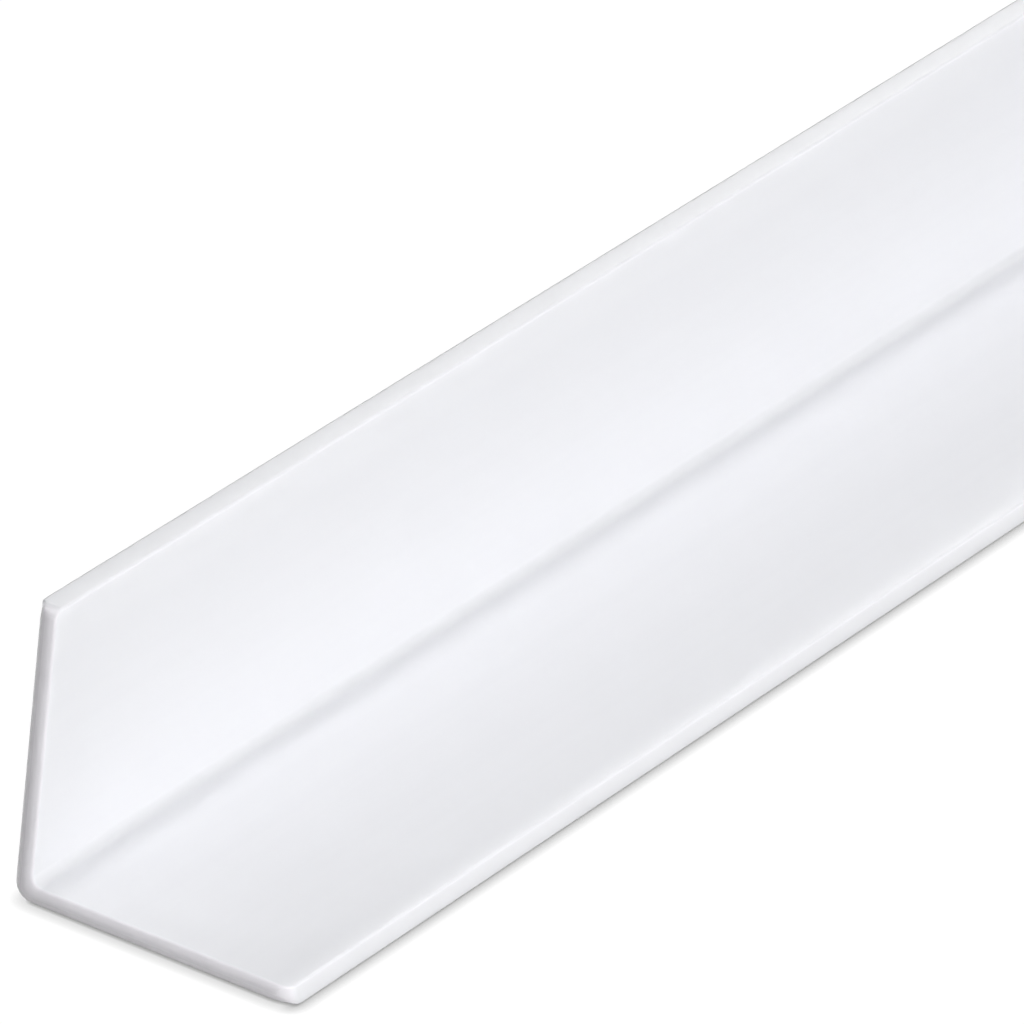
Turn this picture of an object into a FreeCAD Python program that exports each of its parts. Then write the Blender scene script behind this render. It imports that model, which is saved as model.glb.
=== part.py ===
"""Corner guard moulding: an equal-leg angle of white rigid PVC, extruded in one piece and sawn to length.

The frame is in millimetres. X runs along the stock, with X = 0 half way. One leg lies on the floor, Z = 0,
and the other stands at the back, at +Y. The origin is at the middle of the bounding box's underside.

The extruded section has a rounded heel outside and a smaller rounded root inside. Its sawn ends are
rounded over outwards across most of the wall, its toes are nearly square, and a fine easing runs round the
inner skin.
"""

import FreeCAD, Part
import math
import os

import Sketcher

DOCUMENT = FreeCAD.newDocument("corner_guard")

# Driving dimensions, in millimetres
SIZES = [
    ("leg_width", 30.0, "width of each leg, from the heel's outer corner to the toe"),
    ("wall", 2.5, "thickness of both legs"),
    ("stock_length", 1000.0, "length as sold"),
    ("heel_radius", 2.1, "round of the section's outer corner"),
    ("root_radius", 1.0, "round of the section's inner corner"),
    ("end_radius", 1.9, "round-over of the outer skin at the sawn ends"),
    ("toe_radius", 0.4, "round of the toes' outer edges"),
    ("inner_edge_radius", 0.25, "easing of the edge round the inner skin"),
]

# A round stays under these shares of what it cuts into: the wall, and a tighter round that it runs along
WALL_SHARE = 0.8
ROUND_SHARE = 0.92

# Numbers of a sketch line's or arc's own points
START, END = 1, 2
# Numbers of the sketch's own origin and horizontal axis
ORIGIN, HORIZONTAL_AXIS = (-1, 1), -1
# How far apart two places may be and still count as one
TOLERANCE = 1e-4


def make_sheet():
    """The spreadsheet of driving dimensions, one to a row: its name, its value and its meaning."""
    sheet = DOCUMENT.addObject("Spreadsheet::Sheet", "Sizes")
    for row, (alias, value, meaning) in enumerate(SIZES, start=1):
        sheet.set(f"A{row}", alias)
        sheet.set(f"B{row}", str(value))
        sheet.set(f"C{row}", meaning)
        sheet.setAlias(f"B{row}", alias)
    DOCUMENT.recompute()
    return sheet


SHEET = make_sheet()
LEG = SHEET.leg_width
WALL = SHEET.wall
# Where the standing leg's two faces lie across the stock
BACK = LEG / 2
INNER = BACK - WALL


def draw_section(body):
    """The L-shaped section in the YZ plane, fully constrained, with its heel and root as tangent arcs."""
    sketch = body.newObject("Sketcher::SketchObject", "Section")
    plane = next(feature for feature in body.Origin.OriginFeatures if feature.Role == "YZ_Plane")
    sketch.AttachmentSupport = (plane, [""])
    sketch.MapMode = "FlatFace"

    heel, root = SHEET.heel_radius, SHEET.root_radius

    def line(start, end):
        """A straight stretch of the outline."""
        return sketch.addGeometry(Part.LineSegment(FreeCAD.Vector(*start), FreeCAD.Vector(*end)))

    def corner_arc(y, z, radius):
        """The quarter round about a centre, from straight below it to straight behind it."""
        circle = Part.Circle(FreeCAD.Vector(y, z), FreeCAD.Vector(0, 0, 1), radius)
        return sketch.addGeometry(Part.ArcOfCircle(circle, -math.pi / 2, 0))

    underside = line((-BACK, 0), (BACK - heel, 0))
    heel_arc = corner_arc(BACK - heel, heel, heel)
    rear_face = line((BACK, heel), (BACK, LEG))
    upper_toe = line((BACK, LEG), (INNER, LEG))
    front_face = line((INNER, LEG), (INNER, WALL + root))
    root_arc = corner_arc(INNER - root, WALL + root, root)
    top_face = line((INNER - root, WALL), (-BACK, WALL))
    lower_toe = line((-BACK, WALL), (-BACK, 0))

    def constrain(*words):
        """One constraint."""
        return sketch.addConstraint(Sketcher.Constraint(*words))

    def drive(name, expression, *words):
        """One named dimension, bound to the sheet."""
        sketch.renameConstraint(constrain(*words), name)
        sketch.setExpression(f"Constraints.{name}", expression)

    for level in (underside, upper_toe, top_face):
        constrain("Horizontal", level)
    for upright in (rear_face, front_face, lower_toe):
        constrain("Vertical", upright)
    for toe, before, after in ((upper_toe, rear_face, front_face), (lower_toe, top_face, underside)):
        constrain("Coincident", before, END, toe, START)
        constrain("Coincident", toe, END, after, START)
    constrain("Tangent", underside, END, heel_arc, START)
    constrain("Tangent", heel_arc, END, rear_face, START)
    constrain("Tangent", front_face, END, root_arc, END)
    constrain("Tangent", root_arc, START, top_face, START)
    constrain("PointOnObject", underside, START, HORIZONTAL_AXIS)

    drive("half_width", "Sizes.leg_width / 2", "DistanceX", *ORIGIN, rear_face, START, BACK)
    drive("lying_leg", "Sizes.leg_width", "DistanceX", underside, START, rear_face, START, LEG)
    drive("standing_leg", "Sizes.leg_width", "DistanceY", underside, START, upper_toe, END, LEG)
    drive("lying_wall", "Sizes.wall", "DistanceY", lower_toe, END, lower_toe, START, WALL)
    drive("standing_wall", "Sizes.wall", "DistanceX", upper_toe, END, upper_toe, START, WALL)
    drive("heel_round", "Sizes.heel_radius", "Radius", heel_arc, heel)
    drive("root_round", "Sizes.root_radius", "Radius", root_arc, root)
    return sketch


def extrude(body, section):
    """The section drawn out along X, half of it each way."""
    pad = body.newObject("PartDesign::Pad", "Extrusion")
    pad.Profile = section
    pad.SideType = "Symmetric"
    pad.setExpression("Length", "Sizes.stock_length")
    DOCUMENT.recompute()
    return pad


def round_edges(body, base, name, edges, radius):
    """A fillet of some edges of the feature before it, with its radius bound to an expression."""
    fillet = body.newObject("PartDesign::Fillet", name)
    fillet.Base = (base, [f"Edge{number}" for number in edges])
    fillet.setExpression("Radius", radius)
    DOCUMENT.recompute()
    return fillet


def is_inner(face):
    """Whether a face is of the inner skin: it lies wholly within the hollow of the angle."""
    box = face.BoundBox
    return box.YMax < INNER + TOLERANCE and box.ZMin > WALL - TOLERANCE


def is_outer(face):
    """Whether a face is of the outer skin: it looks down or back, away from the hollow."""
    first_u, last_u, first_v, last_v = face.ParameterRange
    normal = face.normalAt((first_u + last_u) / 2, (first_v + last_v) / 2)
    return normal.y - normal.z > TOLERANCE


def is_toe(face):
    """Whether a face is the flat toe of one of the legs."""
    box = face.BoundBox
    return box.YMax < -BACK + TOLERANCE or box.ZMin > LEG - TOLERANCE


def rim(shape, in_skin):
    """The numbers of the edges round a skin, each of which bounds just one of the skin's faces."""
    skin = [face for face in shape.Faces if in_skin(face)]

    def faces_at(edge):
        """How many of the skin's faces an edge bounds."""
        return sum(any(edge.isSame(side) for side in face.Edges) for face in skin)

    return {number for number, edge in enumerate(shape.Edges, start=1) if faces_at(edge) == 1}


def end_edges(shape):
    """The numbers of the edges where the outer skin meets the sawn ends."""
    return {number for number in rim(shape, is_outer) if shape.Edges[number - 1].BoundBox.XLength < TOLERANCE}


def make_corner_guard():
    """The whole moulding: one extrusion with its ends and edges finished."""
    body = DOCUMENT.addObject("PartDesign::Body", "CornerGuard")
    body.Label = "corner_guard"
    body.Placement = FreeCAD.Placement()
    bar = extrude(body, draw_section(body))

    by_wall, by_heel = f"Sizes.wall * {WALL_SHARE}", f"Sizes.heel_radius * {ROUND_SHARE}"
    end_radius = f"min(Sizes.end_radius; {by_wall}; {by_heel})"
    ends = round_edges(body, bar, "EndRounds", end_edges(bar.Shape), end_radius)

    outside_toes = rim(ends.Shape, is_toe) - rim(ends.Shape, is_inner)
    toes = round_edges(body, ends, "ToeRims", outside_toes, "Sizes.toe_radius")

    inner_radius = f"min(Sizes.inner_edge_radius; Sizes.toe_radius * {ROUND_SHARE})"
    round_edges(body, toes, "InnerRim", rim(toes.Shape, is_inner), inner_radius)
    return body


def check(part):
    """Stop if any object of the document has failed or the part is no sound single solid."""
    for item in DOCUMENT.Objects:
        if {"Invalid", "Error"} & set(item.State):
            raise RuntimeError(f"{item.Label} failed: {item.State}")
    shape = part.Shape
    if shape.isNull() or not shape.isValid() or len(shape.Solids) != 1:
        raise RuntimeError(f"{part.Label} is not one valid solid")


CORNER_GUARD = make_corner_guard()
check(CORNER_GUARD)
os.makedirs("parts", exist_ok=True)
CORNER_GUARD.Shape.exportStep(f"parts/{CORNER_GUARD.Label}.step")
print(f"{CORNER_GUARD.Label}: {CORNER_GUARD.Shape.Volume:.0f} mm3, {len(CORNER_GUARD.Shape.Faces)} faces")
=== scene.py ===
"""The looks of the corner guard moulding: white satin-gloss PVC angle, lying on a pale studio floor.

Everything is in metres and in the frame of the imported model: X along the stock, Y towards the heel, Z up.
"""

import logging
import math
from dataclasses import dataclass, field
from enum import Enum
from typing import Any

import bmesh
import bpy
from mathutils import Matrix, Vector


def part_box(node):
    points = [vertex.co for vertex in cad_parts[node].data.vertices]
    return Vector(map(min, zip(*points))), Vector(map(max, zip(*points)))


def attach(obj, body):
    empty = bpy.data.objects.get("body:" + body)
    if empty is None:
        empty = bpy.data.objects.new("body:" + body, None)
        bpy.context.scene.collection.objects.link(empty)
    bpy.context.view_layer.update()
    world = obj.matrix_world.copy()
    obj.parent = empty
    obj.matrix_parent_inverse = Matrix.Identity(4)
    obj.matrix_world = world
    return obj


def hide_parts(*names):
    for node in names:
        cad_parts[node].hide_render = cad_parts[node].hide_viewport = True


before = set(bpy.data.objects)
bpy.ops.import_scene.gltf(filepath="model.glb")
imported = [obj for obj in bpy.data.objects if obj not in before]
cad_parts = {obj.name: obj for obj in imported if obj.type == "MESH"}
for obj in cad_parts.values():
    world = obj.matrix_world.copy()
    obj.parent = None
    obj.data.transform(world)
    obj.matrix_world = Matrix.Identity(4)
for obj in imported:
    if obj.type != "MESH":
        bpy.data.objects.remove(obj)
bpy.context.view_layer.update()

LOG = logging.getLogger("corner_guard")
MM = 0.001
NODE = "corner_guard"
BODY = "root"
# The photograph's side, in pixels, and the width of the camera's sensor
PHOTO_SIDE = 1024
SENSOR = 36.0
# Numbers of the Mix node's colour sockets: the two that go in and the one that comes out
FIRST_COLOUR, SECOND_COLOUR, MIXED_COLOUR = 6, 7, 2


class Wire:
    """A shader socket that takes part in Python expressions."""

    def __init__(self, graph: "Graph", socket: bpy.types.NodeSocket) -> None:
        """Wrap one output socket of a graph.

        Args:
            graph: the graph that the socket's node belongs to.
            socket: the output socket.
        """
        self.graph = graph
        self.socket = socket

    def __add__(self, other: "Wire | float") -> "Wire":
        """The sum of two values."""
        return self.graph.math("ADD", self, other)

    def __sub__(self, other: "Wire | float") -> "Wire":
        """The difference of two values."""
        return self.graph.math("SUBTRACT", self, other)

    def __rsub__(self, other: float) -> "Wire":
        """A number less this value."""
        return self.graph.math("SUBTRACT", other, self)

    def __mul__(self, other: "Wire | float") -> "Wire":
        """The product of two values."""
        return self.graph.math("MULTIPLY", self, other)

    def __abs__(self) -> "Wire":
        """The size of this value without its sign."""
        return self.graph.math("ABSOLUTE", self)

    __radd__ = __add__
    __rmul__ = __mul__

    def most(self, other: "Wire | float") -> "Wire":
        """The larger of two values."""
        return self.graph.math("MAXIMUM", self, other)

    def step(self, low: float, high: float) -> "Wire":
        """A smooth step of this value, 0 at low and below and 1 at high and above."""
        sockets = {"Value": self, "From Min": low, "From Max": high}
        return self.graph.node("ShaderNodeMapRange", {"interpolation_type": "SMOOTHSTEP"}, sockets)["Result"]


class Made:
    """A node that a graph has made, whose outputs are read by name."""

    def __init__(self, graph: "Graph", node: bpy.types.Node) -> None:
        """Wrap one node of a graph.

        Args:
            graph: the graph that made the node.
            node: the node itself.
        """
        self.graph = graph
        self.node = node

    def __getitem__(self, name: str | int) -> Wire:
        """One output as a wire, by its name or its number."""
        return Wire(self.graph, self.node.outputs[name])


class Graph:
    """The node tree of a material or of the world, filled by Python expressions."""

    def __init__(self, owner: bpy.types.Material | bpy.types.World) -> None:
        """Start an empty tree.

        Args:
            owner: the material or world whose nodes are made.
        """
        owner.use_nodes = True
        self.tree = owner.node_tree
        self.tree.nodes.clear()

    def node(
        self, kind: str, settings: dict[str, Any] | None = None, sockets: dict[Any, Any] | None = None
    ) -> Made:
        """Add a node, set it up, and then fill or link its sockets.

        Args:
            kind: the node's type.
            settings: its own properties.
            sockets: values or wires for its inputs, by name or number.

        Returns:
            The node, ready to be read.
        """
        made = self.tree.nodes.new(kind)
        for name, value in (settings or {}).items():
            setattr(made, name, value)
        for name, value in (sockets or {}).items():
            if isinstance(value, Wire):
                self.tree.links.new(value.socket, made.inputs[name])
            else:
                made.inputs[name].default_value = value
        return Made(self, made)

    def math(self, operation: str, *values: "Wire | float") -> Wire:
        """One Math node.

        Args:
            operation: what the node works out.
            values: its one or two inputs, in order.

        Returns:
            The result.
        """
        return self.node("ShaderNodeMath", {"operation": operation}, dict(enumerate(values)))["Value"]

    def blend(self, factor: "Wire | float", first: Any, second: Any) -> Wire:
        """A mix of two colours.

        Args:
            factor: how much of the second there is.
            first: the colour at 0.
            second: the colour at 1.

        Returns:
            The mixed colour.
        """
        sockets = {"Factor": factor, FIRST_COLOUR: first, SECOND_COLOUR: second}
        return self.node("ShaderNodeMix", {"data_type": "RGBA"}, sockets)[MIXED_COLOUR]

    def stretched(self, place: Wire, scale: tuple[float, float, float]) -> Wire:
        """A place multiplied along each axis.

        Args:
            place: the vector.
            scale: its factors.

        Returns:
            The stretched vector.
        """
        return self.node("ShaderNodeVectorMath", {"operation": "MULTIPLY"}, {0: place, 1: scale})["Vector"]

    def parts(self, place: Wire) -> tuple[Wire, Wire, Wire]:
        """The three numbers of a vector."""
        made = self.node("ShaderNodeSeparateXYZ", sockets={"Vector": place})
        return made["X"], made["Y"], made["Z"]


def rgba(colour: tuple[float, float, float]) -> tuple[float, float, float, float]:
    """A colour with full opacity."""
    return (*colour, 1.0)


@dataclass(frozen=True)
class WhitePvc:
    """Rigid white PVC as it leaves the die: satin gloss, with faint streaks along the stock."""

    colour: tuple[float, float, float] = (0.87, 0.875, 0.903)
    streak_colour: tuple[float, float, float] = (0.86, 0.865, 0.894)
    # The mauve tint that the ends show in shade, painted into their colour
    painted_end_tint: tuple[float, float, float] = (0.878, 0.86, 0.898)
    speck_colour: tuple[float, float, float] = (0.55, 0.54, 0.53)
    roughness: float = 0.18
    streak_roughness: float = 0.21
    sawn_roughness: float = 0.5
    refraction: float = 1.53
    streak_depth: float = 0.001 * MM
    saw_depth: float = 0.01 * MM
    translucency: float = 1.0
    scatter_reach: float = 1.5 * MM
    # How far a surface faces along the stock, from 0 to 1, as the ends' painted tint of shade and the sawn
    # face set in
    painted_end_tint_band: tuple[float, float] = (0.1, 0.7)
    sawn_band: tuple[float, float] = (0.9, 0.99)
    # Repeats to the metre, along each axis, and how much finer grain is added to them
    streak_grain: tuple[float, float, float] = (0.4, 500.0, 500.0)
    streak_detail: float = 3.0
    streak_detail_strength: float = 0.6
    streak_band: tuple[float, float] = (0.3, 0.7)
    saw_grain: tuple[float, float, float] = (900.0, 900.0, 5000.0)
    saw_detail: float = 4.0
    # Cells to the metre, the share of cells that stay clean, and a speck's size and strength in its cell
    speck_cells: float = 130.0
    clean_band: tuple[float, float] = (0.82, 0.84)
    speck_band: tuple[float, float] = (0.006, 0.03)
    speck_strength: float = 0.35

    def make(self) -> bpy.types.Material:
        """Build the material.

        Returns:
            The material, with its colour, roughness and bump from the place on the moulding.
        """
        material = bpy.data.materials.new("white_satin_pvc")
        graph = Graph(material)
        place = graph.node("ShaderNodeTexCoord")["Object"]
        facing_along = self.facing_along(graph)
        sawn = facing_along.step(*self.sawn_band)
        streaks = self.streaks(graph, place)
        colour = graph.blend(streaks, rgba(self.colour), rgba(self.streak_colour))
        # Painted tint of shade: the ends take the mauve that their shade shows
        colour = graph.blend(facing_along.step(*self.painted_end_tint_band), colour, rgba(self.painted_end_tint))
        colour = graph.blend(self.specks(graph, place), colour, rgba(self.speck_colour))
        roughness = self.roughness + streaks * (self.streak_roughness - self.roughness)
        roughness = roughness + sawn * (self.sawn_roughness - self.roughness)
        shader = graph.node(
            "ShaderNodeBsdfPrincipled",
            {"subsurface_method": "BURLEY"},
            {
                "Base Color": colour,
                "Roughness": roughness,
                "IOR": self.refraction,
                "Subsurface Weight": self.translucency,
                "Subsurface Radius": (1.0, 1.0, 1.0),
                "Subsurface Scale": self.scatter_reach,
                "Normal": self.relief(graph, place, streaks, sawn),
            },
        )
        graph.node("ShaderNodeOutputMaterial", sockets={"Surface": shader["BSDF"]})
        return material

    def facing_along(self, graph: Graph) -> Wire:
        """How far the surface faces along the stock, from 0 on the legs to 1 on the sawn ends."""
        along, _, _ = graph.parts(graph.node("ShaderNodeNewGeometry")["True Normal"])
        return abs(along)

    def streaks(self, graph: Graph, place: Wire) -> Wire:
        """Faint streaks that the die leaves along the stock, from 0 to 1."""
        sockets = {
            "Vector": graph.stretched(place, self.streak_grain),
            "Scale": 1.0,
            "Detail": self.streak_detail,
            "Roughness": self.streak_detail_strength,
        }
        return graph.node("ShaderNodeTexNoise", sockets=sockets)["Fac"].step(*self.streak_band)

    def specks(self, graph: Graph, place: Wire) -> Wire:
        """A mask of sparse specks of dust, each about a tenth of a millimetre across."""
        cell = graph.node("ShaderNodeTexVoronoi", sockets={"Vector": place, "Scale": self.speck_cells})
        chance = graph.node("ShaderNodeSeparateColor", sockets={"Color": cell["Color"]})["Red"]
        dot = 1.0 - cell["Distance"].step(*self.speck_band)
        return chance.step(*self.clean_band) * dot * self.speck_strength

    def relief(self, graph: Graph, place: Wire, streaks: Wire, sawn: Wire) -> Wire:
        """The surface's normal over the die's streaks and, on the ends, the saw's marks."""
        drawn = graph.node(
            "ShaderNodeBump",
            sockets={"Height": streaks * (1.0 - sawn), "Distance": self.streak_depth, "Strength": 1.0},
        )["Normal"]
        grain = graph.stretched(place, self.saw_grain)
        marks = graph.node(
            "ShaderNodeTexNoise",
            sockets={"Vector": grain, "Scale": 1.0, "Detail": self.saw_detail},
        )["Fac"]
        sockets = {"Height": marks * sawn, "Distance": self.saw_depth, "Strength": 1.0, "Normal": drawn}
        return graph.node("ShaderNodeBump", sockets=sockets)["Normal"]


def quarter(steps: int) -> list[float]:
    """Evenly spaced turns from none to a right angle."""
    return [math.pi / 2 * step / steps for step in range(steps + 1)]


@dataclass(frozen=True)
class RimLine:
    """One line round the moulding's rim: its setbacks from the ends and toes, its depths and its corners."""

    end_setback: float
    end_depth: float
    toe_setback: float
    toe_depth: float
    lying_corner: float
    standing_corner: float
    on_outer_round: bool


@dataclass
class CornerGuard:
    """The moulding: an L-shaped section drawn out along X, with its sawn ends rounded over outwards.

    It is made as a bent plate. Closed lines run round its rim, from the inner skin's edge to the outer
    skin's, and strips along the stock make the two skins. A depth is measured from the inner skin. A pair of
    corner radii is for the outer round's start and its end.
    """

    wall: float = 2.5 * MM
    heel_radius: float = 2.1 * MM
    root_radius: float = 1.0 * MM
    end_radius: float = 1.9 * MM
    toe_radius: float = 0.4 * MM
    inner_edge_radius: float = 0.25 * MM
    inner_corner_radius: float = 1.1 * MM
    lying_corner_radii: tuple[float, float] = (2.0 * MM, 2.8 * MM)
    standing_corner_radii: tuple[float, float] = (1.1 * MM, 2.4 * MM)
    bend_steps: int = 20
    corner_steps: int = 12
    inner_edge_steps: int = 5
    outer_edge_steps: int = 14
    # How strongly the large flat faces decide the shading beside them, from 1 to 100
    flat_weight: int = 100
    finish: WhitePvc = field(default_factory=WhitePvc)

    def __post_init__(self) -> None:
        """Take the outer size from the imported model."""
        self.low, self.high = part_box(NODE)

    def rim_lines(self) -> list[RimLine]:
        """The rim's lines, in order from the inner skin to the outer.

        Returns:
            The inner edge's small round, and then the outer round, large at the ends and small at the toes.
        """
        lines = []
        for turn in quarter(self.inner_edge_steps):
            setback = self.inner_edge_radius * (1.0 - math.sin(turn))
            depth = self.inner_edge_radius * (1.0 - math.cos(turn))
            corner = self.inner_corner_radius - setback
            lines.append(RimLine(setback, depth, setback, depth, corner, corner, False))
        for turn in quarter(self.outer_edge_steps):
            back, up = 1.0 - math.cos(turn), 1.0 - math.sin(turn)
            corners = (self.lying_corner_radii, self.standing_corner_radii)
            lying, standing = (start + (end - start) * back for start, end in corners)
            at_end = (self.end_radius * back, self.wall - self.end_radius * up)
            at_toe = (self.toe_radius * back, self.wall - self.toe_radius * up)
            lines.append(RimLine(*at_end, *at_toe, lying, standing, True))
        return lines

    def corner(self, line: RimLine, radius: float) -> list[tuple[float, float, float]]:
        """A leg's rounded corner on one line of the rim, from its toe to its sawn end.

        Args:
            line: the line.
            radius: the corner's.

        Returns:
            Points as distances from the end and from the toe, and depths.
        """
        places = []
        for turn in quarter(self.corner_steps):
            from_end = line.end_setback + radius * (1.0 - math.sin(turn))
            from_toe = line.toe_setback + radius * (1.0 - math.cos(turn))
            share = 0.5 - 0.5 * math.cos(2.0 * turn)
            places.append((from_end, from_toe, line.toe_depth + (line.end_depth - line.toe_depth) * share))
        return places

    def bend(self, line: RimLine) -> list[tuple[float, float]]:
        """The bend between the legs on one line of the rim, round the root's centre or the heel's.

        Args:
            line: the line.

        Returns:
            Points as distances from the back and heights.
        """
        if line.on_outer_round:
            centre, radius = self.heel_radius, self.heel_radius - (self.wall - line.end_depth)
        else:
            centre, radius = self.wall + self.root_radius, self.root_radius + line.end_depth
        return [
            (centre - radius * math.sin(turn), centre - radius * math.cos(turn))
            for turn in quarter(self.bend_steps)
        ]

    def near_row(self, line: RimLine) -> list[Vector]:
        """One line of the rim at the near end, from the lying toe to the standing one.

        Args:
            line: the line.

        Returns:
            Its points.
        """
        leg = self.high.z - self.low.z
        corners = (self.corner(line, line.lying_corner), self.corner(line, line.standing_corner))
        lying, standing = (
            [(from_end, leg - from_toe, self.wall - depth) for from_end, from_toe, depth in corner]
            for corner in corners
        )
        bend = [(line.end_setback, from_back, height) for from_back, height in self.bend(line)]
        standing = [(from_end, height, from_back) for from_end, from_back, height in reversed(standing)]
        return [
            Vector((self.low.x + from_end, self.high.y - from_back, self.low.z + height))
            for from_end, from_back, height in lying + bend + standing
        ]

    def shell(self, mesh: bmesh.types.BMesh) -> None:
        """Fill a mesh with the rim and the two skins."""
        middle = (self.low.x + self.high.x) / 2.0
        near, far = [], []
        for line in self.rim_lines():
            row = self.near_row(line)
            near.append([mesh.verts.new(place) for place in row])
            far.append([mesh.verts.new((2.0 * middle - place.x, place.y, place.z)) for place in row])
        loops = [front + back[::-1] for front, back in zip(near, far)]
        for loop, after in zip(loops, loops[1:]):
            for this in range(len(loop)):
                mesh.faces.new((loop[this - 1], loop[this], after[this], after[this - 1]))
        for skin in (0, -1):
            for this in range(1, len(near[skin])):
                mesh.faces.new((near[skin][this - 1], near[skin][this], far[skin][this], far[skin][this - 1]))
        bmesh.ops.recalc_face_normals(mesh, faces=mesh.faces)

    def build(self) -> bpy.types.Object:
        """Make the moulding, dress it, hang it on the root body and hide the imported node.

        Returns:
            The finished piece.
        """
        mesh = bmesh.new()
        self.shell(mesh)
        data = bpy.data.meshes.new("corner_guard_moulding")
        mesh.to_mesh(data)
        mesh.free()
        data.shade_smooth()
        data.materials.append(self.finish.make())
        piece = bpy.data.objects.new("corner_guard_moulding", data)
        bpy.context.scene.collection.objects.link(piece)
        even = piece.modifiers.new("even_normals", "WEIGHTED_NORMAL")
        even.mode = "FACE_AREA"
        even.weight = self.flat_weight
        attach(piece, BODY)
        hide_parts(NODE)
        return piece


class Lamp(Enum):
    """The studio's soft boxes: bearing from +X towards +Y, elevation, width, height and brightness."""

    KEY = (221.0, 24.0, 1.0, 0.8, 12.0)
    FRONT = (270.0, 20.0, 1.0, 0.8, 5.8)
    OVERHEAD = (90.0, 85.0, 1.6, 0.2, 14.0)
    RIGHT = (0.0, 30.0, 1.0, 0.8, 3.9)
    BACK_RIGHT = (31.0, 27.0, 1.0, 0.5, 2.5)
    BACK_LEFT = (142.0, 42.0, 0.8, 0.6, 2.8)

    @property
    def towards(self) -> Vector:
        """Which way the lamp lies from the moulding."""
        bearing, elevation = (math.radians(angle) for angle in self.value[:2])
        level = math.cos(elevation)
        return Vector((math.cos(bearing) * level, math.sin(bearing) * level, math.sin(elevation)))

    @property
    def size(self) -> tuple[float, float]:
        """The width and height of its face."""
        return self.value[2:4]

    @property
    def brightness(self) -> float:
        """Its brightness, where 1 is that of a white sheet in full light."""
        return self.value[4]


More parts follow.
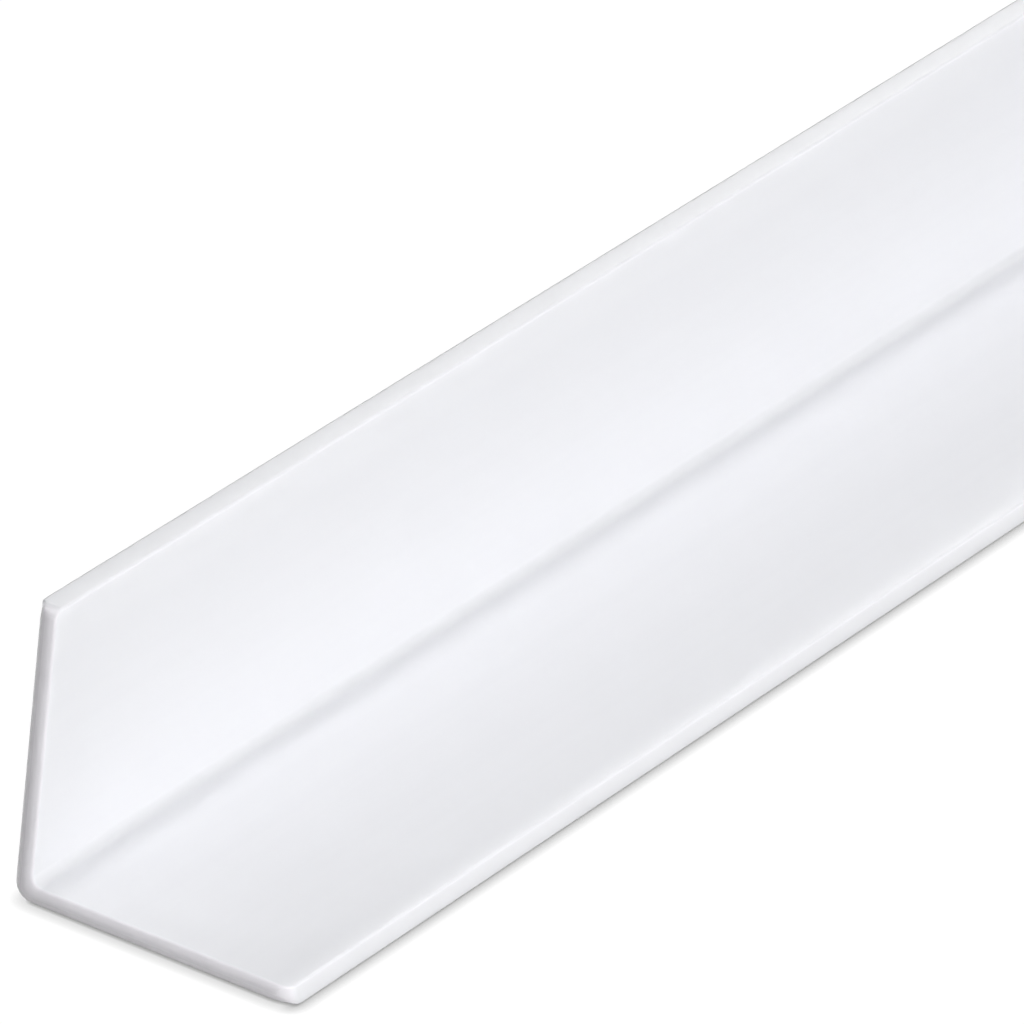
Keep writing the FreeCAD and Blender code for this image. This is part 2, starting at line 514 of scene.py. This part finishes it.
@dataclass
class Studio:
    """The floor, the lamps and the surroundings."""

    ambient: tuple[float, float, float] = (0.02, 0.02, 0.02)
    lamp_distance: float = 2.3
    floor_colour: tuple[float, float, float] = (0.45, 0.45, 0.45)
    floor_side: float = 60.0
    floor_glow: float = 0.85
    floor_glow_strength: float = 1.15
    # The painted contact shadow in the floor's glow: how far it reaches, how deep it is by the toe and by the
    # ends, and a narrower one at the line of contact
    contact_reach: float = 1.4 * MM
    toe_contact_depth: float = 0.9
    end_contact_depth: float = 0.38
    narrow_shadow_reach: float = 0.3 * MM
    narrow_shadow_depth: float = 0.34
    # Where, across the stock, the toe's shadow gives way to the ends'
    toe_shadow_band: tuple[float, float] = (-15.5 * MM, -13.5 * MM)
    contact_samples: int = 3

    def seen_directly(self, graph: Graph) -> Wire:
        """Whether a ray comes from the camera, a reflection or glass, as 0 or 1."""
        path = graph.node("ShaderNodeLightPath")
        seen = path["Is Camera Ray"].most(path["Is Glossy Ray"])
        return seen.most(path["Is Transmission Ray"])

    def contact(self, graph: Graph) -> Wire:
        """How much painted shadow the moulding puts on the floor's glow: more by the toe than under the
        rounded ends.
        """
        _, across, _ = graph.parts(graph.node("ShaderNodeTexCoord")["Object"])
        by_toe = 1.0 - across.step(*self.toe_shadow_band)
        settings = {"samples": self.contact_samples}
        broad, narrow = (
            1.0 - graph.node("ShaderNodeAmbientOcclusion", settings, {"Distance": reach})["AO"]
            for reach in (self.contact_reach, self.narrow_shadow_reach)
        )
        at_toe = broad * self.toe_contact_depth
        at_end = broad * self.end_contact_depth + narrow * self.narrow_shadow_depth
        return at_end + (at_toe - at_end) * by_toe

    def lay_floor(self) -> bpy.types.Object:
        """The pale floor that the moulding lies on, with its shadow, real in its matt part and painted into
        its glow.

        Returns:
            The floor.
        """
        material = bpy.data.materials.new("pale_floor")
        graph = Graph(material)
        matt = graph.node("ShaderNodeBsdfDiffuse", sockets={"Color": rgba(self.floor_colour)})
        # The glow's colour: white, darkened by the painted contact shadow
        white = graph.blend(self.contact(graph), rgba((1.0, 1.0, 1.0)), rgba((0.0, 0.0, 0.0)))
        sockets = {"Color": white, "Strength": self.floor_glow_strength}
        glow = graph.node("ShaderNodeEmission", sockets=sockets)
        lit = self.seen_directly(graph) * self.floor_glow
        mixed = graph.node("ShaderNodeMixShader", sockets={0: lit, 1: matt["BSDF"], 2: glow["Emission"]})
        graph.node("ShaderNodeOutputMaterial", sockets={"Surface": mixed["Shader"]})
        half = self.floor_side / 2
        corners = [(-half, -half, 0.0), (half, -half, 0.0), (half, half, 0.0), (-half, half, 0.0)]
        data = bpy.data.meshes.new("floor")
        data.from_pydata(corners, [], [(0, 1, 2, 3)])
        data.materials.append(material)
        floor = bpy.data.objects.new("floor", data)
        bpy.context.scene.collection.objects.link(floor)
        return floor

    def hang_lamp(self, lamp: Lamp) -> bpy.types.Object:
        """Hang one soft box, aimed at the moulding.

        Args:
            lamp: which one.

        Returns:
            The lamp.
        """
        data = bpy.data.lights.new(lamp.name.lower(), "AREA")
        data.shape = "RECTANGLE"
        data.size, data.size_y = lamp.size
        data.energy = lamp.brightness * math.pi * data.size * data.size_y
        made = bpy.data.objects.new(lamp.name.lower(), data)
        made.location = lamp.towards * self.lamp_distance
        made.rotation_mode = "QUATERNION"
        made.rotation_quaternion = (-lamp.towards).to_track_quat("-Z", "Y")
        made.visible_camera = False
        bpy.context.scene.collection.objects.link(made)
        return made

    def surround(self) -> None:
        """Dim even surroundings, which the camera sees as white."""
        world = bpy.data.worlds.new("surroundings")
        bpy.context.scene.world = world
        graph = Graph(world)
        white = graph.node("ShaderNodeBackground", sockets={"Color": rgba((1.0, 1.0, 1.0))})
        dim = graph.node("ShaderNodeBackground", sockets={"Color": rgba(self.ambient)})
        path = graph.node("ShaderNodeLightPath")
        sockets = {0: path["Is Camera Ray"], 1: dim["Background"], 2: white["Background"]}
        mixed = graph.node("ShaderNodeMixShader", sockets=sockets)
        graph.node("ShaderNodeOutputWorld", sockets={"Surface": mixed["Shader"]})

    def build(self) -> None:
        """Set up the whole studio."""
        self.lay_floor()
        self.surround()
        for lamp in Lamp:
            self.hang_lamp(lamp)


@dataclass(frozen=True)
class Viewpoint:
    """Where the photograph was taken from."""

    azimuth: float = 299.992
    elevation: float = 27.283
    roll: float = -6.091
    distance: float = 1.37539
    aim: tuple[float, float, float] = (-0.474459, -0.017503, 0.040926)
    focal_pixels: float = 15670.7
    clip: tuple[float, float] = (0.05, 100.0)

    def set_up(self) -> bpy.types.Object:
        """Make the scene's camera.

        Returns:
            The camera.
        """
        turn, rise, tilt = (math.radians(angle) for angle in (self.azimuth, self.elevation, self.roll))
        back = Vector((math.sin(turn) * math.cos(rise), -math.cos(turn) * math.cos(rise), math.sin(rise)))
        right = Vector((0.0, 0.0, 1.0)).cross(back).normalized()
        up = back.cross(right)
        leaning_right = right * math.cos(tilt) - up * math.sin(tilt)
        leaning_up = back.cross(leaning_right)
        data = bpy.data.cameras.new("camera")
        data.sensor_width = SENSOR
        data.lens = self.focal_pixels / PHOTO_SIDE * SENSOR
        data.clip_start, data.clip_end = self.clip
        camera = bpy.data.objects.new("camera", data)
        axes = Matrix((leaning_right, leaning_up, back)).transposed()
        place = Vector(self.aim) + back * self.distance
        camera.matrix_world = Matrix.LocRotScale(place, axes.to_quaternion(), None)
        bpy.context.scene.collection.objects.link(camera)
        bpy.context.scene.camera = camera
        return camera


def main() -> None:
    """Build the studio and the moulding."""
    logging.basicConfig(level=logging.INFO, format="%(name)s: %(message)s")
    bpy.context.scene.view_settings.view_transform = "Standard"
    Viewpoint().set_up()
    Studio().build()
    piece = CornerGuard().build()
    LOG.info("%s: %d faces", piece.name, len(piece.data.polygons))


if __name__ == "__main__":
    main()
